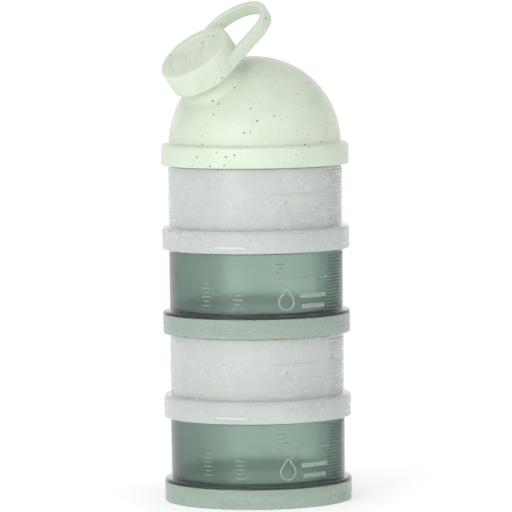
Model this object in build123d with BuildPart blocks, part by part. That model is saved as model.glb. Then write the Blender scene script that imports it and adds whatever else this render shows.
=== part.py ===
"""Stacking formula dispenser: four twist-on cups, a domed pouring lid and its looped spout cap.

Millimetres, +Z up.  The origin is the centre of the foot of the lowest cup, and the spout
leans towards -Y.  Angles round the stack are measured from +X, anticlockwise from above.
"""
import os
from math import cos, radians, sin, sqrt

from build123d import *

os.makedirs("parts", exist_ok=True)

# --- The stack -------------------------------------------------------------------------
skirt_diameter = 78.0  # outside of every skirt, and of the lid's flange
stack_pitch = 35.0  # from the foot of one cup to the foot of the next
cup_names = ["base_cup", "second_cup", "third_cup", "top_cup"]

# --- One cup ---------------------------------------------------------------------------
skirt_height = 9.5
skirt_wall = 1.5
bayonet_gap = 1.9  # between a skirt and the neck inside it, which holds lugs and ramps
neck_wall = 1.3
floor_thickness = 2.0
shoulder_step = 0.4  # the body stands this far outside the neck
shoulder_drop = 0.5  # the body ends this far below the next skirt
body_draft = 0.15  # the body is this much slimmer at its foot
plug_wall = 1.2
plug_depth = 2.5  # the sealing lip under each floor
skirt_round = 1.0
foot_round = 0.5
floor_round = 2.0
rim_round = 0.4

# --- Clearances ------------------------------------------------------------------------
seat_gap = 0.3  # between a neck's rim and the floor above it
lug_clearance = 0.4  # between a lug's tip and the neck, and a ramp's tip and the skirt
mouth_clearance = 0.4  # between a sealing lip and the mouth it plugs
ramp_clearance = 0.4  # between the top of a lug and the ramp that it turns under

# --- Bayonet, grips and panel of a cup -------------------------------------------------
cup_front = -54.0  # direction of the middle of a cup's smooth front
lug_count = 4
lug_turn = -2.0  # first lug, from the cup's front
lug_arc = 22.0
lug_foot = 1.5
lug_height = 2.2
ramp_arc = 24.0
ramp_height = 1.6
rib_start = 72.0  # each grip runs between these two angles from the cup's front
rib_end = 150.0
rib_pitch = 1.35
rib_width = 0.9
rib_rise = 0.25  # how far a rib stands out of the body
rib_margin = 1.6  # smooth band above the skirt and below the shoulder
panel_turn = 45.7  # middle of the badge panel, from the cup's front
panel_arc = 49.0
panel_height = 12.5
panel_depth = 0.25
panel_lift = 0.8  # above the skirt

# --- Lid -------------------------------------------------------------------------------
flange_height = 9.0
flange_plate = 1.5
flange_round = 1.5
dome_ledge = 3.2  # width of the flange outside the dome
dome_wall = 1.6
spout_tilt = 40.0  # of the spout's axis, from straight up
spout_radius = 12.6
spout_wall = 1.5
spout_root_round = 5.0  # the wide sweep from the dome up into the spout

# --- Spout cap -------------------------------------------------------------------------
cap_lift = 3.4  # between the dome's crown and the plane of the cap's rim
cap_height = 10.9
cap_wall = 1.6
cap_thread_gap = 1.7  # between the spout and the cap's wall
cap_top_gap = 0.4  # between the spout's mouth and the cap's ceiling
cap_plug_wall = 1.2
cap_plug_depth = 4.0
cap_plug_clearance = 0.4
cap_round = 1.2
cap_dish_radius = 11.4
cap_dish_depth = 0.4
cap_lug_count = 3
cap_lug_arc = 30.0
cap_lug_foot = 1.4
cap_lug_height = 1.4
loop_reach = 22.0  # from the cap's axis to the middle of the loop's round end
loop_radius = 16.3
loop_band = 3.0
loop_height = 5.6
loop_round = 0.8
loop_crotch_round = 1.5  # in the two corners where the band leaves the cap

# --- Sizes that follow -----------------------------------------------------------------
embed = 0.3  # how far a lug, a ramp, a rib or the spout is sunk into the wall that carries it
skirt_radius = skirt_diameter / 2
skirt_bore = skirt_radius - skirt_wall
neck_radius = skirt_bore - bayonet_gap
mouth_radius = neck_radius - neck_wall
body_top_radius = neck_radius + shoulder_step
body_foot_radius = body_top_radius - body_draft
plug_radius = mouth_radius - mouth_clearance
plug_bore = plug_radius - plug_wall

floor_underside = skirt_height - floor_thickness
plug_foot = floor_underside - plug_depth
shoulder = stack_pitch - shoulder_drop
neck_top = stack_pitch + floor_underside - seat_gap
ramp_foot = stack_pitch + lug_foot + lug_height + ramp_clearance
lug_angles = [cup_front + lug_turn + 360 / lug_count * turn for turn in range(lug_count)]
ramp_angles = [angle + 180 / lug_count for angle in lug_angles]

lid_level = stack_pitch * len(cup_names)
dome_radius = skirt_radius - dome_ledge
dome_bore = dome_radius - dome_wall
dome_centre = lid_level + flange_height
plate_underside = flange_height - flange_plate

spout_bore = spout_radius - spout_wall
spout_foot = sqrt(dome_bore**2 - spout_radius**2) - embed  # just inside the dome's wall
cap_bore = spout_radius + cap_thread_gap
cap_radius = cap_bore + cap_wall
cap_rim = dome_radius + cap_lift  # along the spout's axis, from the dome's centre
cap_top = cap_rim + cap_height
cap_ceiling = cap_top - cap_wall
spout_mouth = cap_ceiling - cap_top_gap
cap_plug_radius = spout_bore - cap_plug_clearance
spout_lug_foot = cap_rim + cap_lug_foot + cap_lug_height + ramp_clearance
cap_lug_angles = [90 + 360 / cap_lug_count * turn for turn in range(cap_lug_count)]
spout_lug_angles = [angle + 180 / cap_lug_count for angle in cap_lug_angles]

# The spout's own frame: its axis is local Z, and local Y runs up over the dome.
spout_frame = Plane(
    origin=(0, 0, dome_centre),
    x_dir=(1, 0, 0),
    z_dir=(0, -sin(radians(spout_tilt)), cos(radians(spout_tilt))),
)
# The plane of a section through the spout: local X is outwards, and local Y is its axis.
spout_section = Plane(origin=spout_frame.origin, x_dir=spout_frame.x_dir, z_dir=-spout_frame.y_dir)


def arc_blocks(base, foot, height, inner, outer, arc, centres):
    """Blocks cut from a ring round the base's axis, one centred on each angle."""
    with BuildPart() as blocks:
        with BuildSketch(base.offset(foot)):
            for centre in centres:
                with BuildLine():
                    near = CenterArc((0, 0), inner, centre - arc / 2, arc)
                    far = CenterArc((0, 0), outer, centre - arc / 2, arc)
                    Line(near @ 0, far @ 0)
                    Line(near @ 1, far @ 1)
                make_face()
        extrude(amount=height)
    return blocks.part


def grip_ribs(first_angle, arc):
    """Level ribs up the body, each a small ridge sunk into the wall, revolved through the arc."""
    span = shoulder - skirt_height - 2 * rib_margin
    rib_count = int(span / rib_pitch) + 1
    lowest = skirt_height + rib_margin + (span - (rib_count - 1) * rib_pitch) / 2
    east = cos(radians(first_angle))
    north = sin(radians(first_angle))
    with BuildPart() as ribs:
        with BuildSketch(Plane(origin=(0, 0, 0), x_dir=(east, north, 0), z_dir=(north, -east, 0))):
            for step in range(rib_count):
                height = lowest + step * rib_pitch
                share = (height - skirt_height) / (shoulder - skirt_height)
                with Locations((body_foot_radius + body_draft * share, height)):
                    Polygon(
                        (-embed, -rib_width / 2),
                        (0, -rib_width / 2),
                        (rib_rise, 0),
                        (0, rib_width / 2),
                        (-embed, rib_width / 2),
                        align=None,
                    )
        revolve(axis=Axis.Z, revolution_arc=arc)
    return ribs.part


def corner(section, radius, height):
    """The vertex of a section at one radius and height, in the section's own plane."""
    return section.vertices().sort_by_distance((radius, height))[0]


# --- Cup: one moulding, used four times ------------------------------------------------
lugs = arc_blocks(
    Plane.XY, lug_foot, lug_height, neck_radius + lug_clearance, skirt_bore + embed, lug_arc, lug_angles
)
ramps = arc_blocks(
    Plane.XY, ramp_foot, ramp_height, neck_radius - embed, skirt_bore - lug_clearance, ramp_arc, ramp_angles
)
panel = arc_blocks(
    Plane.XY,
    skirt_height + panel_lift,
    panel_height,
    body_foot_radius - panel_depth,
    skirt_radius,
    panel_arc,
    [cup_front + panel_turn],
)
rib_arc = rib_end - rib_start
left_ribs = grip_ribs(cup_front - rib_end, rib_arc)
right_ribs = grip_ribs(cup_front + rib_start, rib_arc)

with BuildPart() as cup:
    with BuildSketch(Plane.XZ) as cup_section:
        with BuildLine():
            Polyline(
                (0, floor_underside),
                (plug_bore, floor_underside),
                (plug_bore, plug_foot),
                (plug_radius, plug_foot),
                (plug_radius, floor_underside),
                (skirt_bore, floor_underside),
                (skirt_bore, 0),
                (skirt_radius, 0),
                (skirt_radius, skirt_height),
                (body_foot_radius, skirt_height),
                (body_top_radius, shoulder),
                (neck_radius, shoulder + shoulder_step),
                (neck_radius, neck_top),
                (mouth_radius, neck_top),
                (mouth_radius - body_draft, skirt_height),
                (0, skirt_height),
                close=True,
            )
        make_face()
        fillet(corner(cup_section, skirt_radius, skirt_height), radius=skirt_round)
        fillet(corner(cup_section, skirt_radius, 0), radius=foot_round)
        fillet(corner(cup_section, mouth_radius - body_draft, skirt_height), radius=floor_round)
        fillet(corner(cup_section, neck_radius, neck_top), radius=rim_round)
        fillet(corner(cup_section, mouth_radius, neck_top), radius=rim_round)
    revolve(axis=Axis.Z)
    add(lugs)
    add(ramps)
    add(left_ribs)
    add(right_ribs)
    add(panel, mode=Mode.SUBTRACT)

for level, cup_name in enumerate(cup_names):
    with BuildPart() as stacked_cup:
        with Locations((0, 0, level * stack_pitch)):
            add(cup.part)
    stacked_cup.part.label = cup_name
    export_step(stacked_cup.part, f"parts/{cup_name}.step")

# --- Lid: flange, dome and spout in one moulding ---------------------------------------
lid_lugs = arc_blocks(
    Plane.XY.offset(lid_level),
    lug_foot,
    lug_height,
    neck_radius + lug_clearance,
    skirt_bore + embed,
    lug_arc,
    lug_angles,
)
spout_lugs = arc_blocks(
    spout_frame,
    spout_lug_foot,
    cap_lug_height,
    spout_radius - embed,
    cap_bore - lug_clearance,
    cap_lug_arc,
    spout_lug_angles,
)
lid_plane = Plane(origin=(0, 0, lid_level), x_dir=(1, 0, 0), z_dir=(0, -1, 0))

with BuildPart() as dome_lid:
    with BuildSketch(lid_plane) as lid_section:
        with BuildLine():
            foot_line = Polyline(
                (0, plate_underside),
                (plug_bore, plate_underside),
                (plug_bore, plug_foot),
                (plug_radius, plug_foot),
                (plug_radius, plate_underside),
                (skirt_bore, plate_underside),
                (skirt_bore, 0),
                (skirt_radius, 0),
                (skirt_radius, flange_height),
                (dome_radius, flange_height),
            )
            crown = CenterArc((0, flange_height), dome_radius, 0, 90)
            Line(crown @ 1, foot_line @ 0)
        make_face()
        fillet(corner(lid_section, skirt_radius, flange_height), radius=flange_round)
        fillet(corner(lid_section, skirt_radius, 0), radius=foot_round)
    revolve(axis=Axis.Z)
    with BuildSketch(spout_frame.offset(spout_foot)):
        Circle(spout_radius)
    extrude(amount=spout_mouth - spout_foot)
    spout_root = spout_frame.offset(sqrt(dome_radius**2 - spout_radius**2))
    fillet(
        dome_lid.edges()
        .filter_by(GeomType.CIRCLE)
        .filter_by(lambda edge: (edge.arc_center - spout_root.origin).length < 0.01),
        radius=spout_root_round,
    )
    with Locations((0, 0, dome_centre)):
        Sphere(dome_bore, arc_size1=0, align=(Align.CENTER, Align.CENTER, Align.MIN), mode=Mode.SUBTRACT)
    with BuildSketch(Plane.XY.offset(lid_level)):
        Circle(plug_bore)
    extrude(amount=flange_height + dome_wall, mode=Mode.SUBTRACT)
    with BuildSketch(spout_frame.offset(spout_foot)):
        Circle(spout_bore)
    extrude(amount=spout_mouth - spout_foot, mode=Mode.SUBTRACT)
    add(lid_lugs)
    add(spout_lugs)

dome_lid.part.label = "dome_lid"
export_step(dome_lid.part, "parts/dome_lid.step")

# --- Spout cap: cup-shaped cap and finger loop in one moulding -------------------------
cap_lugs = arc_blocks(
    spout_frame,
    cap_rim + cap_lug_foot,
    cap_lug_height,
    spout_radius + lug_clearance,
    cap_bore + embed,
    cap_lug_arc,
    cap_lug_angles,
)

with BuildPart() as spout_cap:
    with BuildSketch(spout_frame.offset(cap_rim)) as cap_outline:
        Circle(cap_radius)
        with Locations((0, loop_reach)):
            Circle(loop_radius)
        make_hull()
        offset(amount=-loop_band, mode=Mode.SUBTRACT)
        Circle(cap_radius)
        crotches = cap_outline.faces()[0].inner_wires()[0].vertices().sort_by(Axis.Y)[:2]
        fillet(crotches, radius=loop_crotch_round)
    extrude(amount=loop_height)
    fillet(spout_cap.faces().filter_by(spout_frame).edges(), radius=loop_round)
    with BuildSketch(spout_section) as cap_section:
        with BuildLine():
            Polyline(
                (0, cap_rim + loop_round),
                (cap_radius, cap_rim + loop_round),
                (cap_radius, cap_top),
                (cap_dish_radius, cap_top),
                (cap_dish_radius, cap_top - cap_dish_depth),
                (0, cap_top - cap_dish_depth),
                close=True,
            )
        make_face()
        fillet(corner(cap_section, cap_radius, cap_top), radius=cap_round)
    revolve(axis=Axis(spout_frame.origin, spout_frame.z_dir))
    with BuildSketch(spout_frame.offset(cap_rim)):
        Circle(cap_bore)
    extrude(amount=cap_height - cap_wall, mode=Mode.SUBTRACT)
    with BuildSketch(spout_frame.offset(cap_ceiling)):
        Circle(cap_plug_radius)
        Circle(cap_plug_radius - cap_plug_wall, mode=Mode.SUBTRACT)
    extrude(amount=-cap_plug_depth)
    add(cap_lugs)

spout_cap.part.label = "spout_cap"
export_step(spout_cap.part, "parts/spout_cap.step")
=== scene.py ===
"""Stacking formula dispenser: four frosted cups, a flecked domed lid and its looped spout cap.

Each moulding is drawn as a section, spun round its axis and finished with bevels, then given a
node material that follows how its plastic is really coloured and moulded.
"""
import math

import bmesh
import bpy
from mathutils import Matrix, Vector


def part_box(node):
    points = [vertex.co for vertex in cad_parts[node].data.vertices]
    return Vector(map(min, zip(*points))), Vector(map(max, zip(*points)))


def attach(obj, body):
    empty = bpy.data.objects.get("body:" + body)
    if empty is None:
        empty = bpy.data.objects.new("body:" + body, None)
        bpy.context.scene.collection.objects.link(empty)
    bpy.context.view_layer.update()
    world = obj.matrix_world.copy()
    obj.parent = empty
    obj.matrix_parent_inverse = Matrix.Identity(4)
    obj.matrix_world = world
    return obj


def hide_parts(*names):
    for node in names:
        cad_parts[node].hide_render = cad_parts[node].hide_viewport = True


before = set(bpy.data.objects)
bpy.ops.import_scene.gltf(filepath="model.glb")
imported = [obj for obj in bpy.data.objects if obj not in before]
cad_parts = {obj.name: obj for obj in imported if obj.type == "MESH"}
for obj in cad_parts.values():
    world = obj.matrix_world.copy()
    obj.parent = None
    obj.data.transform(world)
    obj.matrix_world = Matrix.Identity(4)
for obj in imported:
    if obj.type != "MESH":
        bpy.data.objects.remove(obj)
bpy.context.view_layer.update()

MM = 0.001
NEAR = 0.02 * MM  # how close a point must be to count as on a line
WELD = 0.001 * MM
FULL_TURN = 2 * math.pi

# --- Places and sizes read from the frame ----------------------------------------------
CUP_NODES = ["base_cup", "second_cup", "third_cup", "top_cup"]
GREEN_CUPS = ("base_cup", "third_cup")
STACK_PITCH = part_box("second_cup")[0][2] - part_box("base_cup")[0][2]
SKIRT_RADIUS = (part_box("base_cup")[1][0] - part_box("base_cup")[0][0]) / 2
NECK_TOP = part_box("base_cup")[1][2]
LID_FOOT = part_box("dome_lid")[0][2]

# --- Cup sizes -------------------------------------------------------------------------
SPIN_STEPS = 192
SKIRT_HEIGHT = 9.5 * MM
SKIRT_BORE = SKIRT_RADIUS - 1.5 * MM
NECK_RADIUS = SKIRT_BORE - 1.9 * MM
MOUTH_RADIUS = NECK_RADIUS - 1.3 * MM
BODY_TOP_RADIUS = NECK_RADIUS + 0.4 * MM
BODY_FOOT_RADIUS = BODY_TOP_RADIUS - 0.15 * MM
BORE_FOOT_RADIUS = MOUTH_RADIUS - 0.15 * MM
PLUG_RADIUS = MOUTH_RADIUS - 0.4 * MM
PLUG_WALL = 1.2 * MM
PLUG_BORE = PLUG_RADIUS - PLUG_WALL
FLOOR_UNDERSIDE = SKIRT_HEIGHT - 2 * MM
PLUG_FOOT = FLOOR_UNDERSIDE - 2.5 * MM
FLOOR_RADIUS = SKIRT_BORE - 0.3 * MM
RIM_FOOT = SKIRT_HEIGHT - 1.4 * MM
SHOULDER = STACK_PITCH - 0.5 * MM

CUP_FRONT = math.radians(-54)
LUG_ANGLES = [math.radians(-56 + 90 * turn) for turn in range(4)]
RAMP_ANGLES = [angle + math.radians(45) for angle in LUG_ANGLES]
LUG_ARC = math.radians(22)
LUG_FOOT = 1.5 * MM
LUG_HEIGHT = 2.2 * MM
LUG_CLEARANCE = 0.4 * MM
LUG_ROOT = SKIRT_RADIUS + 0.04 * MM  # just proud of the skirt, so that each lug shows as a bar
RAMP_ARC = math.radians(24)
RAMP_HEIGHT = 1.6 * MM
EMBED = 0.3 * MM  # how far a ramp is sunk into the neck
RIB_PITCH = 1.35 * MM
RIB_MARGIN = 1.6 * MM
RIB_RISE = 0.4 * MM
RIB_CREST = 0.15 * MM  # half the flat on a rib's crest
RIB_FOOT = 0.45 * MM
RIB_START = math.radians(67)
RIB_END = math.radians(150)
PANEL_MIDDLE = CUP_FRONT + math.radians(45.7)
PANEL_HALF_ARC = math.radians(24.5)
PANEL_FOOT = SKIRT_HEIGHT + 0.8 * MM
PANEL_TOP = PANEL_FOOT + 14.1 * MM
PANEL_DEPTH = 0.25 * MM
RELIEF_RISE = 0.25 * MM
TICK_RISE = 0.12 * MM
RELIEF_ROOT = 0.2 * MM  # how far a raised mark is sunk into the wall

# --- Lid and cap sizes -----------------------------------------------------------------
FLANGE_HEIGHT = 9 * MM
PLATE_UNDERSIDE = FLANGE_HEIGHT - 1.5 * MM
DOME_RADIUS = SKIRT_RADIUS - 3.2 * MM
DOME_BORE = DOME_RADIUS - 1.6 * MM
DOME_CENTRE = Vector((0, 0, LID_FOOT + FLANGE_HEIGHT))
SPOUT_TILT = math.radians(40)
SPOUT_RADIUS = 12.6 * MM
SPOUT_BORE = SPOUT_RADIUS - 1.5 * MM
SPOUT_ROOT_ROUND = 5 * MM
CAP_RIM = DOME_RADIUS + 3.4 * MM
CAP_TOP = CAP_RIM + 10.9 * MM
CAP_CEILING = CAP_TOP - 1.6 * MM
SPOUT_MOUTH = CAP_CEILING - 0.4 * MM
CAP_BORE = SPOUT_RADIUS + 1.7 * MM
CAP_RADIUS = CAP_BORE + 1.6 * MM
CAP_DISH_RADIUS = 11.4 * MM
CAP_DISH_DEPTH = 0.4 * MM
CAP_PLUG_RADIUS = SPOUT_BORE - 0.4 * MM
CAP_PLUG_WALL = 1.2 * MM
CAP_PLUG_DEPTH = 4 * MM
LOOP_REACH = 22 * MM
LOOP_RADIUS = 16.3 * MM
LOOP_BAND = 3 * MM
LOOP_HEIGHT = 5.6 * MM
SPOUT_PLACE = Matrix.Translation(DOME_CENTRE) @ Matrix.Rotation(SPOUT_TILT, 4, "X")


# --- Modelling helpers -----------------------------------------------------------------
def deselect():
    """Leaves nothing selected, so that the next operator works on its own piece alone."""
    bpy.ops.object.select_all(action="DESELECT")


def edit(piece):
    """Opens one piece alone in edit mode."""
    deselect()
    bpy.context.view_layer.objects.active = piece
    piece.select_set(True)
    bpy.ops.object.mode_set(mode="EDIT")


def select_edges(piece, wanted):
    """Selects the edges of the piece in edit mode whose two ends both pass the test."""
    bpy.ops.mesh.select_all(action="DESELECT")
    bpy.ops.mesh.select_mode(type="EDGE")
    mesh = bmesh.from_edit_mesh(piece.data)
    for edge in mesh.edges:
        edge.select_set(all(wanted(vert.co) for vert in edge.verts))
    bmesh.update_edit_mesh(piece.data)


def select_verts(piece, wanted):
    """Selects the vertices of the piece in edit mode that pass the test."""
    bpy.ops.mesh.select_all(action="DESELECT")
    bpy.ops.mesh.select_mode(type="VERT")
    mesh = bmesh.from_edit_mesh(piece.data)
    for vert in mesh.verts:
        vert.select_set(wanted(vert.co))
    mesh.select_flush(True)
    bmesh.update_edit_mesh(piece.data)


def turned(name, outline, steps=SPIN_STEPS, arc=FULL_TURN, start=0.0, closed=False):
    """Draws a section of (radius, height) points by extruding one vertex, then spins it round Z."""
    deselect()
    bpy.ops.mesh.primitive_plane_add(size=MM)
    piece = bpy.context.object
    piece.name = name
    bpy.ops.object.mode_set(mode="EDIT")
    bpy.ops.mesh.select_mode(type="VERT")
    bpy.ops.mesh.select_all(action="SELECT")
    bpy.ops.mesh.merge(type="CENTER")
    tip = Vector((outline[0][0], 0, outline[0][1]))
    bpy.ops.transform.translate(value=tip)
    points = outline[1:] + (outline[:1] if closed else [])
    for radius, height in points:
        corner = Vector((radius, 0, height))
        bpy.ops.mesh.extrude_region_move(TRANSFORM_OT_translate={"value": corner - tip})
        tip = corner
    bpy.ops.mesh.select_all(action="SELECT")
    bpy.ops.mesh.remove_doubles(threshold=WELD)
    bpy.ops.mesh.select_all(action="SELECT")
    bpy.ops.mesh.spin(steps=steps, angle=arc, center=(0, 0, 0), axis=(0, 0, 1))
    bpy.ops.mesh.select_all(action="SELECT")
    bpy.ops.mesh.remove_doubles(threshold=WELD)
    if arc < FULL_TURN:
        bpy.ops.mesh.select_all(action="DESELECT")
        bpy.ops.mesh.select_non_manifold()
        bpy.ops.mesh.edge_face_add()
    bpy.ops.mesh.select_all(action="SELECT")
    bpy.ops.mesh.normals_make_consistent(inside=False)
    bpy.ops.object.mode_set(mode="OBJECT")
    if start:
        piece.rotation_euler.z = start
        bpy.ops.object.transform_apply(location=True, rotation=True, scale=True)
    return piece


def round_ring(piece, radius, height, size, segments=4):
    """Bevels the ring of edges at one radius and height."""
    edit(piece)
    select_edges(
        piece,
        lambda co: abs(co.z - height) < NEAR and abs(math.hypot(co.x, co.y) - radius) < NEAR,
    )
    bpy.ops.mesh.bevel(offset=size, segments=segments, affect="EDGES", clamp_overlap=True)
    bpy.ops.object.mode_set(mode="OBJECT")


def smooth(piece, angle=40):
    """Shades the piece smooth, with its edges sharper than the angle kept crisp."""
    deselect()
    bpy.context.view_layer.objects.active = piece
    piece.select_set(True)
    bpy.ops.object.shade_smooth_by_angle(angle=math.radians(angle))


def settle(piece, place):
    """Moves the piece to its place and applies it, so that its object stays at the origin."""
    deselect()
    bpy.context.view_layer.objects.active = piece
    piece.select_set(True)
    piece.matrix_world = place @ piece.matrix_world
    bpy.ops.object.transform_apply(location=True, rotation=True, scale=True)


def copied(piece, name, place):
    """A copy of the piece with its own mesh, settled in a new place."""
    twin = piece.copy()
    twin.data = piece.data.copy()
    twin.name = name
    bpy.context.collection.objects.link(twin)
    settle(twin, place)
    return twin


def apply_modifiers(piece):
    """Applies every modifier of the piece, in order."""
    deselect()
    bpy.context.view_layer.objects.active = piece
    piece.select_set(True)
    for modifier in list(piece.modifiers):
        bpy.ops.object.modifier_apply(modifier=modifier.name)


def combine(piece, other, operation):
    """Joins the other piece to this one, or cuts it away, and removes it."""
    boolean = piece.modifiers.new("combine", "BOOLEAN")
    boolean.operation = operation
    boolean.solver = "EXACT"
    boolean.object = other
    apply_modifiers(piece)
    bpy.data.objects.remove(other)


def bearing(co):
    """The direction of a point round the axis, from the front of the cup, between -pi and pi."""
    turn = math.atan2(co.y, co.x) - CUP_FRONT
    return (turn + math.pi) % FULL_TURN - math.pi


# --- Cup -------------------------------------------------------------------------------
def rib_heights():
    """The height of each grip rib on the body."""
    span = SHOULDER - SKIRT_HEIGHT - 2 * RIB_MARGIN
    count = int(span / RIB_PITCH) + 1
    lowest = SKIRT_HEIGHT + RIB_MARGIN + (span - (count - 1) * RIB_PITCH) / 2
    return [lowest + step * RIB_PITCH for step in range(count)]


def wall_radius(height):
    """Outside radius of the body, with its moulding draft."""
    share = (height - SKIRT_HEIGHT) / (SHOULDER - SKIRT_HEIGHT)
    return BODY_FOOT_RADIUS + (BODY_TOP_RADIUS - BODY_FOOT_RADIUS) * share


def make_body():
    """Floor with its plug ring, ribbed body and neck, in one closed shell at the foot of the stack."""
    rows = [PANEL_FOOT, PANEL_TOP]
    for height in rib_heights():
        rows += [height - RIB_FOOT, height - RIB_CREST, height + RIB_CREST, height + RIB_FOOT]
    rows = sorted(rows)
    outline = [
        (0, FLOOR_UNDERSIDE),
        (PLUG_BORE, FLOOR_UNDERSIDE),
        (PLUG_BORE, PLUG_FOOT),
        (PLUG_RADIUS, PLUG_FOOT),
        (PLUG_RADIUS, FLOOR_UNDERSIDE),
        (FLOOR_RADIUS, FLOOR_UNDERSIDE),
        (FLOOR_RADIUS, RIM_FOOT),
        (SKIRT_RADIUS, RIM_FOOT),
        (SKIRT_RADIUS, SKIRT_HEIGHT),
        (BODY_FOOT_RADIUS, SKIRT_HEIGHT),
    ]
    outline += [(wall_radius(row), row) for row in rows]
    outline += [
        (BODY_TOP_RADIUS, SHOULDER),
        (NECK_RADIUS, SHOULDER + 0.4 * MM),
        (NECK_RADIUS, NECK_TOP),
        (MOUTH_RADIUS, NECK_TOP),
        (BORE_FOOT_RADIUS, SKIRT_HEIGHT),
        (0, SKIRT_HEIGHT),
    ]
    body = turned("body", outline)
    raise_ribs(body)
    sink_panel(body)
    for radius, height, size in (
        (SKIRT_RADIUS, SKIRT_HEIGHT, 1.1 * MM),
        (BODY_FOOT_RADIUS, SKIRT_HEIGHT, 0.3 * MM),
        (NECK_RADIUS, NECK_TOP, 0.4 * MM),
        (MOUTH_RADIUS, NECK_TOP, 0.4 * MM),
        (PLUG_RADIUS, PLUG_FOOT, 0.3 * MM),
        (BORE_FOOT_RADIUS, SKIRT_HEIGHT, 1.8 * MM),
    ):
        round_ring(body, radius, height, size)
    smooth(body, 30)
    return body


def make_skirt():
    """The wide skirt that hangs from the rim round the foot of a cup."""
    top = RIM_FOOT - 0.01 * MM
    outline = [(SKIRT_BORE, 0), (SKIRT_RADIUS, 0), (SKIRT_RADIUS, top), (SKIRT_BORE, top)]
    skirt = turned("skirt", outline, closed=True)
    round_ring(skirt, SKIRT_RADIUS, 0, 0.6 * MM)
    round_ring(skirt, SKIRT_BORE, 0, 0.4 * MM)
    smooth(skirt)
    return skirt


def raise_ribs(shell):
    """Pushes the crest rows out of the wall over the two grips, in steps that taper their ends."""
    crests = [height + side * RIB_CREST for height in rib_heights() for side in (-1, 1)]
    passes = 4
    column = FULL_TURN / SPIN_STEPS
    edit(shell)
    for number in range(passes):

        def on_crest(co):
            if math.hypot(co.x, co.y) < BODY_FOOT_RADIUS - 0.05 * MM:
                return False
            if not RIB_START + number * column < abs(bearing(co)) < RIB_END - number * column:
                return False
            return any(abs(co.z - crest) < NEAR for crest in crests)

        select_verts(shell, on_crest)
        grow = 1 + RIB_RISE / passes / BODY_TOP_RADIUS
        bpy.ops.transform.resize(value=(grow, grow, 1), center_override=(0, 0, 0))
    bpy.ops.object.mode_set(mode="OBJECT")


def sink_panel(shell):
    """Sinks the badge panel into the wall: a crisp step along its top, fading at its ends and foot."""
    passes = 8
    column = FULL_TURN / SPIN_STEPS
    edit(shell)
    for number in range(passes):

        def on_panel(co):
            turn = bearing(co) - (PANEL_MIDDLE - CUP_FRONT)
            outside = math.hypot(co.x, co.y) > BODY_FOOT_RADIUS - PANEL_DEPTH - 0.05 * MM
            inside_arc = abs(turn) < PANEL_HALF_ARC - number * column
            foot = PANEL_FOOT + number * 0.5 * MM
            return outside and inside_arc and foot < co.z < PANEL_TOP - 0.01 * MM

        select_verts(shell, on_panel)
        shrink = 1 - PANEL_DEPTH / passes / BODY_TOP_RADIUS
        bpy.ops.transform.resize(value=(shrink, shrink, 1), center_override=(0, 0, 0))
    bpy.ops.object.mode_set(mode="OBJECT")


def wrap(piece, angle, height):
    """Bends a flat relief, drawn in X and Z with its back at Y 0, round the wall of a cup."""
    for vert in piece.data.vertices:
        co = vert.co
        along = angle + co.x / BODY_FOOT_RADIUS
        radius = BODY_FOOT_RADIUS - RELIEF_ROOT - PANEL_DEPTH - co.y
        vert.co = (radius * math.cos(along), radius * math.sin(along), height + co.z)


def relief_bar(name, width, height, depth, angle, lift):
    """A raised bar with softened edges, bent round the wall."""
    deselect()
    bpy.ops.mesh.primitive_grid_add(x_subdivisions=12, y_subdivisions=1, size=1)
    bar = bpy.context.object
    bar.name = name
    bar.data.transform(Matrix.Diagonal((width, height, 1, 1)))
    bar.data.transform(Matrix.Rotation(math.pi / 2, 4, "X"))
    edit(bar)
    bpy.ops.mesh.select_all(action="SELECT")
    bpy.ops.mesh.extrude_region_move(TRANSFORM_OT_translate={"value": (0, -depth, 0)})
    bpy.ops.mesh.select_all(action="SELECT")
    bpy.ops.mesh.normals_make_consistent(inside=False)
    bpy.ops.object.mode_set(mode="OBJECT")
    bevel = bar.modifiers.new("bevel", "BEVEL")
    bevel.width = min(height, depth) * 0.3
    bevel.segments = 2
    bevel.limit_method = "ANGLE"
    bevel.angle_limit = math.radians(50)
    apply_modifiers(bar)
    wrap(bar, angle, lift)
    smooth(bar)
    return bar


def drop_outline(piece, size):
    """Draws a circle of the piece's vertices up into a drop with its tip at the top."""
    for vert in piece.data.vertices:
        turn = math.atan2(vert.co.z, vert.co.x)
        near_top = max(0.0, math.cos(turn - math.pi / 2)) ** 6
        vert.co.x *= 1 - 0.55 * near_top
        vert.co.z += 0.75 * size * near_top


def relief_drop(name, size, depth, band):
    """A raised outline of a drop, flat in X and Z, with its back at Y 0."""
    deselect()
    bpy.ops.mesh.primitive_circle_add(vertices=48, radius=size, fill_type="NGON")
    drop = bpy.context.object
    drop.name = name
    drop.data.transform(Matrix.Rotation(math.pi / 2, 4, "X"))
    drop_outline(drop, size)
    edit(drop)
    bpy.ops.mesh.select_all(action="SELECT")
    bpy.ops.mesh.inset(thickness=band)
    bpy.ops.mesh.delete(type="FACE")
    bpy.ops.mesh.select_all(action="SELECT")
    bpy.ops.mesh.extrude_region_move(TRANSFORM_OT_translate={"value": (0, -depth, 0)})
    bpy.ops.mesh.select_all(action="SELECT")
    bpy.ops.mesh.normals_make_consistent(inside=False)
    bpy.ops.object.mode_set(mode="OBJECT")
    return drop


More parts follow.
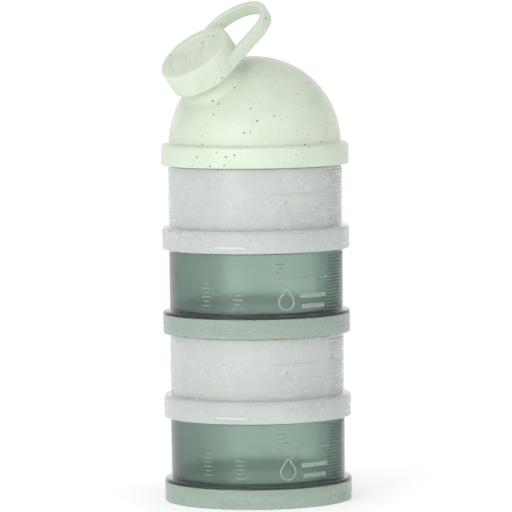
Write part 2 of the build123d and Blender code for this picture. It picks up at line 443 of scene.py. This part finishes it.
def make_badge():
    """A plain drop and two bars on the panel, the bead along its top and the measuring ticks."""
    drop = relief_drop("badge", 3.6 * MM, RELIEF_ROOT + RELIEF_RISE, 0.7 * MM)
    wrap(drop, PANEL_MIDDLE - math.radians(11.6), PANEL_FOOT + 4.6 * MM)
    marks = [drop]
    for row, width in ((0, 14.5), (1, 12.5)):
        angle = PANEL_MIDDLE + math.radians(9.5)
        lift = PANEL_FOOT + (7.0 - 4.4 * row) * MM
        marks.append(relief_bar("bar", width * MM, 1.9 * MM, RELIEF_ROOT + RELIEF_RISE, angle, lift))
    depth = RELIEF_ROOT + PANEL_DEPTH + RELIEF_RISE
    marks.append(relief_bar("bead", 28 * MM, 0.5 * MM, depth, PANEL_MIDDLE, PANEL_TOP))
    depth = RELIEF_ROOT + PANEL_DEPTH + TICK_RISE
    for column, start, count in ((-21, 4.0, 6), (2, 3.0, 5), (30, 17.5, 3)):
        for step in range(count):
            width = (4.2 if step % 2 == 0 else 2.6) * MM
            angle = CUP_FRONT + math.radians(column)
            lift = SKIRT_HEIGHT + (start + 1.8 * step) * MM
            marks.append(relief_bar("tick", width, 0.4 * MM, depth, angle, lift))
    deselect()
    for mark in marks:
        mark.select_set(True)
    bpy.context.view_layer.objects.active = drop
    bpy.ops.object.join()
    smooth(drop, 30)
    return drop


def curved_bar(name, inner, outer, foot, height, angle, arc):
    """A flat bar that follows a wall for a short arc, with its edges and ends rounded.

    The spin runs clockwise seen from above, so the bar starts at the far end of its arc.
    """
    bar = turned(
        name,
        [(inner, foot), (outer, foot), (outer, foot + height), (inner, foot + height)],
        steps=16,
        arc=arc,
        start=angle + arc / 2,
        closed=True,
    )
    bevel = bar.modifiers.new("bevel", "BEVEL")
    bevel.width = 0.4 * height
    bevel.segments = 4
    bevel.limit_method = "ANGLE"
    bevel.angle_limit = math.radians(50)
    apply_modifiers(bar)
    smooth(bar)
    return bar


def make_lug(angle):
    """One bayonet lug on the inside of a skirt."""
    return curved_bar("lug", NECK_RADIUS + LUG_CLEARANCE, LUG_ROOT, LUG_FOOT, LUG_HEIGHT, angle, LUG_ARC)


def make_ramp(angle):
    """One bayonet ramp on the outside of a neck, which a lug of the next skirt turns under."""
    foot = STACK_PITCH + LUG_FOOT + LUG_HEIGHT + LUG_CLEARANCE
    tip = SKIRT_BORE - LUG_CLEARANCE
    return curved_bar("ramp", NECK_RADIUS - EMBED, tip, foot, RAMP_HEIGHT, angle, RAMP_ARC)


# --- Lid -------------------------------------------------------------------------------
def arc_points(radius, centre_height, steps):
    """Points of a quarter circle from its equator to the point just below its pole."""
    quarter = math.pi / 2
    return [
        (radius * math.cos(quarter * k / steps), centre_height + radius * math.sin(quarter * k / steps))
        for k in range(steps)
    ]


def spout_outline():
    """Section of the spout: a wide sweep that rises out of the dome into a straight tube."""
    dip = 0.05 * MM
    middle_out = SPOUT_RADIUS + SPOUT_ROOT_ROUND
    reach = DOME_RADIUS + SPOUT_ROOT_ROUND - dip
    middle_up = math.sqrt(reach**2 - middle_out**2)
    lowest = math.atan2(middle_up, middle_out)
    steps = 12
    sweep = []
    for step in range(steps + 1):
        turn = lowest * (1 - step / steps)
        sweep.append(
            (middle_out - SPOUT_ROOT_ROUND * math.cos(turn), middle_up - SPOUT_ROOT_ROUND * math.sin(turn))
        )
    foot = sweep[0][1] - 1.2 * MM
    return [(0, foot), (sweep[0][0], foot), *sweep, (SPOUT_RADIUS, SPOUT_MOUTH), (0, SPOUT_MOUTH)]


def make_lid():
    """Flange, dome and spout in one shell."""
    outer = arc_points(DOME_RADIUS, FLANGE_HEIGHT, 40)
    inner = arc_points(DOME_BORE, FLANGE_HEIGHT, 40)
    outline = [
        (0, FLANGE_HEIGHT + DOME_BORE),
        *reversed(inner),
        (PLUG_BORE, FLANGE_HEIGHT),
        (PLUG_BORE, PLUG_FOOT),
        (PLUG_RADIUS, PLUG_FOOT),
        (PLUG_RADIUS, PLATE_UNDERSIDE),
        (SKIRT_BORE, PLATE_UNDERSIDE),
        (SKIRT_BORE, 0),
        (SKIRT_RADIUS, 0),
        (SKIRT_RADIUS, FLANGE_HEIGHT),
        *outer,
        (0, FLANGE_HEIGHT + DOME_RADIUS),
    ]
    lid = turned("dome_lid_shell", outline)
    for radius, height, size in (
        (SKIRT_RADIUS, FLANGE_HEIGHT, 1.5 * MM),
        (SKIRT_RADIUS, 0, 0.6 * MM),
        (SKIRT_BORE, 0, 0.4 * MM),
        (DOME_RADIUS, FLANGE_HEIGHT, 0.5 * MM),
        (PLUG_RADIUS, PLUG_FOOT, 0.3 * MM),
    ):
        round_ring(lid, radius, height, size)
    settle(lid, Matrix.Translation((0, 0, LID_FOOT)))
    spout = turned("spout", spout_outline(), 96)
    round_ring(spout, SPOUT_RADIUS, SPOUT_MOUTH, 0.4 * MM)
    settle(spout, SPOUT_PLACE)
    combine(lid, spout, "UNION")
    low = 20 * MM
    high = SPOUT_MOUTH + 5 * MM
    bore = turned("bore", [(0, low), (SPOUT_BORE, low), (SPOUT_BORE, high), (0, high)], 96)
    settle(bore, SPOUT_PLACE)
    combine(lid, bore, "DIFFERENCE")
    smooth(lid, 30)
    return lid


# --- Cap -------------------------------------------------------------------------------
def make_loop():
    """The finger loop: a band drawn round its outer line, thickened inwards and rounded."""
    deselect()
    bpy.ops.mesh.primitive_circle_add(vertices=128, radius=LOOP_RADIUS, location=(0, LOOP_REACH, CAP_RIM))
    loop = bpy.context.object
    loop.name = "loop"
    bpy.ops.object.transform_apply(location=True, rotation=True, scale=True)
    edit(loop)
    select_verts(loop, lambda co: co.y < LOOP_REACH - 0.01 * MM)
    bpy.ops.mesh.delete(type="VERT")
    for side in (-1, 1):
        select_verts(loop, lambda co: co.x * side > LOOP_RADIUS - 0.01 * MM)
        lean = side * (CAP_RADIUS - LOOP_RADIUS) * 0.9
        bpy.ops.mesh.extrude_region_move(TRANSFORM_OT_translate={"value": (lean, -LOOP_REACH * 0.94, 0)})
    bpy.ops.mesh.select_all(action="SELECT")
    bpy.ops.mesh.extrude_region_move(TRANSFORM_OT_translate={"value": (0, 0, LOOP_HEIGHT)})
    bpy.ops.mesh.select_all(action="SELECT")
    bpy.ops.mesh.normals_make_consistent(inside=False)
    bpy.ops.object.mode_set(mode="OBJECT")
    wall = loop.modifiers.new("wall", "SOLIDIFY")
    wall.thickness = LOOP_BAND
    wall.offset = -1
    wall.use_even_offset = True
    rounding = loop.modifiers.new("rounding", "BEVEL")
    rounding.width = 0.8 * MM
    rounding.segments = 4
    rounding.limit_method = "ANGLE"
    rounding.angle_limit = math.radians(50)
    apply_modifiers(loop)
    return loop


def make_cap():
    """Round cap with its plug ring and finger loop, in the spout's own frame and then placed."""
    outline = [
        (0, CAP_CEILING),
        (CAP_PLUG_RADIUS - CAP_PLUG_WALL, CAP_CEILING),
        (CAP_PLUG_RADIUS - CAP_PLUG_WALL, CAP_CEILING - CAP_PLUG_DEPTH),
        (CAP_PLUG_RADIUS, CAP_CEILING - CAP_PLUG_DEPTH),
        (CAP_PLUG_RADIUS, CAP_CEILING),
        (CAP_BORE, CAP_CEILING),
        (CAP_BORE, CAP_RIM),
        (CAP_RADIUS, CAP_RIM),
        (CAP_RADIUS, CAP_TOP),
        (CAP_DISH_RADIUS, CAP_TOP),
        (CAP_DISH_RADIUS - 0.2 * MM, CAP_TOP - CAP_DISH_DEPTH),
        (0, CAP_TOP - CAP_DISH_DEPTH),
    ]
    cap = turned("cap", outline, 128)
    for radius, height, size in (
        (CAP_RADIUS, CAP_TOP, 1.2 * MM),
        (CAP_RADIUS, CAP_RIM, 0.5 * MM),
        (CAP_DISH_RADIUS, CAP_TOP, 0.1 * MM),
    ):
        round_ring(cap, radius, height, size)
    combine(cap, make_loop(), "UNION")
    settle(cap, SPOUT_PLACE)
    smooth(cap, 30)
    return cap


def make_cap_badge():
    """A plain raised drop in the dish of the cap, with its tip towards the loop."""
    drop = relief_drop("spout_cap_badge", 4.4 * MM, 0.45 * MM, 0.9 * MM)
    bevel = drop.modifiers.new("bevel", "BEVEL")
    bevel.width = 0.12 * MM
    bevel.segments = 2
    bevel.limit_method = "ANGLE"
    bevel.angle_limit = math.radians(50)
    apply_modifiers(drop)
    seat = Matrix.Translation((0, -1 * MM, CAP_TOP - CAP_DISH_DEPTH - 0.1 * MM))
    settle(drop, SPOUT_PLACE @ seat @ Matrix.Rotation(-math.pi / 2, 4, "X"))
    smooth(drop, 30)
    return drop


# --- Materials -------------------------------------------------------------------------
def linear(hex_colour):
    """A colour given as an sRGB hex value, as the linear colour that a node takes."""
    parts = [int(hex_colour[place : place + 2], 16) / 255 for place in (1, 3, 5)]
    return tuple(v / 12.92 if v <= 0.04045 else ((v + 0.055) / 1.055) ** 2.4 for v in parts) + (1.0,)


def add_node(tree, kind, settings=None, values=None, links=None):
    """Adds one node with its settings, its socket values and the outputs that feed it."""
    node = tree.nodes.new(kind)
    for name, value in (settings or {}).items():
        setattr(node, name, value)
    for socket, value in (values or {}).items():
        node.inputs[socket].default_value = value
    for socket, output in (links or {}).items():
        tree.links.new(output, node.inputs[socket])
    return node


def new_material(name):
    """An empty node material with its output."""
    material = bpy.data.materials.new(name)
    material.use_nodes = True
    material.node_tree.nodes.clear()
    output = add_node(material.node_tree, "ShaderNodeOutputMaterial")
    return material, material.node_tree, output


def noise(tree, place, grain, detail=2.0):
    """A soft noise whose blotches are about the given size, in the piece's own space."""
    return add_node(
        tree,
        "ShaderNodeTexNoise",
        values={"Scale": 1 / grain, "Detail": detail},
        links={"Vector": place.outputs["Object"]},
    )


def spread(tree, source, low, high):
    """Turns the middle of a noise's range into the range from low to high."""
    return add_node(
        tree,
        "ShaderNodeMapRange",
        values={"From Min": 0.3, "From Max": 0.7, "To Min": low, "To Max": high},
        links={"Value": source.outputs[0]},
    )


def blend_colours(tree, factor, first, second):
    """Mixes two hex colours, or a colour that comes from a node with a hex one, by a factor."""
    node = add_node(
        tree,
        "ShaderNodeMix",
        settings={"data_type": "RGBA"},
        values={"B": linear(second)},
        links={"Factor": factor.outputs[0]},
    )
    if isinstance(first, str):
        node.inputs["A"].default_value = linear(first)
    else:
        tree.links.new(first.outputs["Result"], node.inputs["A"])
    return node


def frosted_polypropylene(name, skin, cloud, tint, density, clear, roughness, ior):
    """Translucent polypropylene from an etched mould: light comes through it tinted and blurred.

    The skin has a fine etch of about 0.5 mm, drawn coarser than the real one so that it shows,
    and slow cloudy bands where the melt cooled unevenly. The colour lies in the depth of the wall,
    so that edges and thick corners look darker than a single wall.
    """
    material, tree, output = new_material(name)
    place = add_node(tree, "ShaderNodeTexCoord")
    colour = blend_colours(tree, spread(tree, noise(tree, place, 16 * MM), 0, 1), skin, cloud)
    sheen = spread(tree, noise(tree, place, 7 * MM, 4.0), roughness * 0.88, roughness * 1.12)
    etch = add_node(
        tree,
        "ShaderNodeBump",
        values={"Strength": 0.12, "Distance": 0.03 * MM},
        links={"Height": noise(tree, place, 0.5 * MM).outputs[0]},
    )
    shader = add_node(
        tree,
        "ShaderNodeBsdfPrincipled",
        values={
            "IOR": ior,
            "Transmission Weight": clear,
            "Specular IOR Level": 0.4,
        },
        links={
            "Base Color": colour.outputs["Result"],
            "Roughness": sheen.outputs[0],
            "Normal": etch.outputs[0],
        },
    )
    depth = add_node(
        tree,
        "ShaderNodeVolumeAbsorption",
        values={"Color": linear(tint), "Density": density},
    )
    tree.links.new(shader.outputs[0], output.inputs["Surface"])
    tree.links.new(depth.outputs[0], output.inputs["Volume"])
    return material


def flecks(tree, place, spacing, largest, strength):
    """A mask of round flecks, one to a cell of the given spacing, each of its own random size."""
    cells = add_node(
        tree,
        "ShaderNodeTexVoronoi",
        values={"Scale": 1 / spacing},
        links={"Vector": place.outputs["Object"]},
    )
    chance = add_node(tree, "ShaderNodeSeparateColor", links={"Color": cells.outputs["Color"]})
    size = add_node(
        tree,
        "ShaderNodeMath",
        settings={"operation": "MULTIPLY"},
        values={1: largest / spacing},
        links={0: chance.outputs["Red"]},
    )
    beyond = add_node(
        tree,
        "ShaderNodeMath",
        settings={"operation": "SUBTRACT"},
        links={0: cells.outputs["Distance"], 1: size.outputs[0]},
    )
    return add_node(
        tree,
        "ShaderNodeMapRange",
        values={"From Min": -0.02, "From Max": 0.01, "To Min": strength, "To Max": 0.0},
        links={"Value": beyond.outputs[0]},
    )


def flecked_plastic(name):
    """Opaque mint bioplastic with ground filler, injection moulded with a satin skin.

    The filler shows as sparse dark flecks up to 0.9 mm across, a finer dust of grey-green ones
    and a few pale ones, over a mint ground that is slightly cloudy from the flow of the melt.
    """
    material, tree, output = new_material(name)
    place = add_node(tree, "ShaderNodeTexCoord")
    ground = blend_colours(tree, spread(tree, noise(tree, place, 12 * MM, 3.0), 0, 1), "#C6D2BF", "#D0D9C9")
    dusted = blend_colours(tree, flecks(tree, place, 1.3 * MM, 0.22 * MM, 0.6), ground, "#93A592")
    pale = blend_colours(tree, flecks(tree, place, 1.7 * MM, 0.28 * MM, 0.5), dusted, "#E6ECDF")
    colour = blend_colours(tree, flecks(tree, place, 3.0 * MM, 0.46 * MM, 0.92), pale, "#46544A")
    sheen = spread(tree, noise(tree, place, 5 * MM, 3.0), 0.36, 0.46)
    skin = add_node(
        tree,
        "ShaderNodeBump",
        values={"Strength": 0.1, "Distance": 0.04 * MM},
        links={"Height": noise(tree, place, 0.7 * MM).outputs[0]},
    )
    shader = add_node(
        tree,
        "ShaderNodeBsdfPrincipled",
        values={"IOR": 1.49},
        links={
            "Base Color": colour.outputs["Result"],
            "Roughness": sheen.outputs[0],
            "Normal": skin.outputs[0],
        },
    )
    tree.links.new(shader.outputs[0], output.inputs["Surface"])
    return material


# Clear enough to see the back wall through, and a deeper green where the wall is thick.
GREEN_BODY = frosted_polypropylene(
    "frosted_green_polypropylene",
    skin="#F4F6F4",
    cloud="#ECF1ED",
    tint="#3FA083",
    density=310,
    clear=0.96,
    roughness=0.22,
    ior=1.32,
)
# Paler and milkier than the body, so that the ring reads as a soft band of its own: the same green plastic
# made lighter, as painted light in place of the light that glows through the ring.
GREEN_SKIRT_PAINTED_LIGHT = frosted_polypropylene(
    "green_polypropylene_painted_lighter",
    skin="#D6E4DA",
    cloud="#CFDFD4",
    tint="#3CA083",
    density=130,
    clear=0.62,
    roughness=0.28,
    ior=1.4,
)
# Milky white that lets the light behind it glow through without showing a shape.
WHITE_PLASTIC = frosted_polypropylene(
    "frosted_white_polypropylene",
    skin="#EBEFEB",
    cloud="#E6EAE7",
    tint="#F0F2EC",
    density=6,
    clear=0.5,
    roughness=0.26,
    ior=1.4,
)
# Solid white where a lug doubles the wall, which gives the eye a bright bar.
WHITE_LUG = frosted_polypropylene(
    "thick_white_polypropylene",
    skin="#C8D0CA",
    cloud="#C4CCC6",
    tint="#F0F2EC",
    density=8,
    clear=0.0,
    roughness=0.3,
    ior=1.49,
)
MINT_PLASTIC = flecked_plastic("flecked_mint_bioplastic")


def finish(piece, material, body):
    """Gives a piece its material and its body."""
    piece.data.materials.clear()
    piece.data.materials.append(material)
    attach(piece, body)


# --- Put the stack together ------------------------------------------------------------
body = make_body()
skirt = make_skirt()
badge = make_badge()
lugs = [make_lug(angle) for angle in LUG_ANGLES]
ramps = [make_ramp(angle) for angle in RAMP_ANGLES]
for level, node in enumerate(CUP_NODES):
    green = node in GREEN_CUPS
    wall = GREEN_BODY if green else WHITE_PLASTIC
    # On a green cup the skirt, its badge and its lugs take the lightened green, whose paleness is painted
    # light.
    rim = GREEN_SKIRT_PAINTED_LIGHT if green else WHITE_PLASTIC
    lug_plastic = GREEN_SKIRT_PAINTED_LIGHT if green else WHITE_LUG
    place = Matrix.Translation((0, 0, level * STACK_PITCH))
    shell = copied(body, node + "_shell", place)
    finish(shell, wall, node)
    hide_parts(node)
    finish(copied(skirt, node + "_skirt", place), rim, node)
    finish(copied(badge, node + "_badge", place), rim, node)
    for count, ramp in enumerate(ramps):
        finish(copied(ramp, f"{node}_ramp_{count + 1}", place), wall, node)
    for count, lug in enumerate(lugs):
        finish(copied(lug, f"{node}_lug_{count + 1}", place), lug_plastic, node)

lid = make_lid()
finish(lid, MINT_PLASTIC, "dome_lid")
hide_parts("dome_lid")
for count, lug in enumerate(lugs):
    lid_lug = copied(lug, f"dome_lid_lug_{count + 1}", Matrix.Translation((0, 0, LID_FOOT)))
    finish(lid_lug, MINT_PLASTIC, "dome_lid")
for pattern in [body, skirt, badge] + lugs + ramps:
    bpy.data.objects.remove(pattern)

cap = make_cap()
cap.name = "spout_cap_shell"
finish(cap, MINT_PLASTIC, "spout_cap")
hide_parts("spout_cap")
finish(make_cap_badge(), MINT_PLASTIC, "spout_cap")


# --- Studio ----------------------------------------------------------------------------
VIEW_AZIMUTH = math.radians(50)
CAMERA_DISTANCE = 1.862
CAMERA_HEIGHT = 0.242
AIM = Vector((0, 0, 0.1015))
FRONT_GLOW = 1.15
SIDE_GLOW = 0.66
BACK_GLOW = 1.5


def make_floor():
    """A wide pale floor."""
    deselect()
    bpy.ops.mesh.primitive_plane_add(size=40)
    floor = bpy.context.object
    floor.name = "studio_floor"
    material, tree, output = new_material("matt_white_board")
    shader = add_node(
        tree,
        "ShaderNodeBsdfPrincipled",
        values={
            "Base Color": linear("#FFFFFF"),
            "Roughness": 0.9,
            "Emission Color": linear("#FFFFFF"),
            "Emission Strength": 0.22,
        },
    )
    tree.links.new(shader.outputs[0], output.inputs["Surface"])
    floor.data.materials.append(material)


def make_sweep():
    """A white sweep round the stack: brightest behind it, dimmer at its two sides, as with flags."""
    world = bpy.data.worlds.new("studio")
    bpy.context.scene.world = world
    world.use_nodes = True
    tree = world.node_tree
    place = add_node(tree, "ShaderNodeTexCoord")
    away = (-math.sin(VIEW_AZIMUTH), math.cos(VIEW_AZIMUTH), 0)
    facing = add_node(
        tree,
        "ShaderNodeVectorMath",
        settings={"operation": "DOT_PRODUCT"},
        values={1: away},
        links={0: place.outputs["Generated"]},
    )
    share = add_node(
        tree,
        "ShaderNodeMapRange",
        values={"From Min": -1.0, "From Max": 1.0},
        links={"Value": facing.outputs["Value"]},
    )
    ramp = add_node(tree, "ShaderNodeValToRGB", links={"Fac": share.outputs[0]})
    stops = ramp.color_ramp.elements
    for stop, glow in zip(stops, (FRONT_GLOW, BACK_GLOW)):
        stop.color = (glow, glow, glow, 1)
    for position, glow in ((0.5, SIDE_GLOW), (0.85, SIDE_GLOW), (0.96, BACK_GLOW)):
        stops.new(position).color = (glow, glow, glow, 1)
    tree.links.new(ramp.outputs["Color"], tree.nodes["Background"].inputs["Color"])


def add_softbox(name, azimuth, elevation, distance, size, watts):
    """A square area light that looks at the middle of the stack."""
    data = bpy.data.lights.new(name, "AREA")
    data.shape = "SQUARE"
    data.size = size
    data.energy = watts
    lamp = bpy.data.objects.new(name, data)
    bpy.context.collection.objects.link(lamp)
    back = Vector(
        (
            math.sin(azimuth) * math.cos(elevation),
            -math.cos(azimuth) * math.cos(elevation),
            math.sin(elevation),
        )
    )
    lamp.location = Vector((0, 0, 0.11)) + back * distance
    lamp.rotation_euler = back.to_track_quat("Z", "Y").to_euler()


make_floor()
make_sweep()
add_softbox("key", VIEW_AZIMUTH - math.radians(30), math.radians(8), 2.2, 1.2, 16)
bpy.context.scene.cycles.max_bounces = 32
bpy.context.scene.cycles.transmission_bounces = 32
bpy.context.scene.cycles.diffuse_bounces = 12
bpy.context.scene.cycles.glossy_bounces = 32
bpy.context.scene.view_settings.view_transform = "Standard"

camera_data = bpy.data.cameras.new("camera")
camera_data.lens = 315
camera_data.sensor_width = 36
camera = bpy.data.objects.new("camera", camera_data)
bpy.context.collection.objects.link(camera)
camera.location = (
    CAMERA_DISTANCE * math.sin(VIEW_AZIMUTH),
    -CAMERA_DISTANCE * math.cos(VIEW_AZIMUTH),
    CAMERA_HEIGHT,
)
look = (AIM - camera.location).to_track_quat("-Z", "Y")
roll = Matrix.Rotation(math.radians(-0.65), 4, "Z")
camera.rotation_euler = (look.to_matrix().to_4x4() @ roll).to_euler()
bpy.context.scene.camera = camera
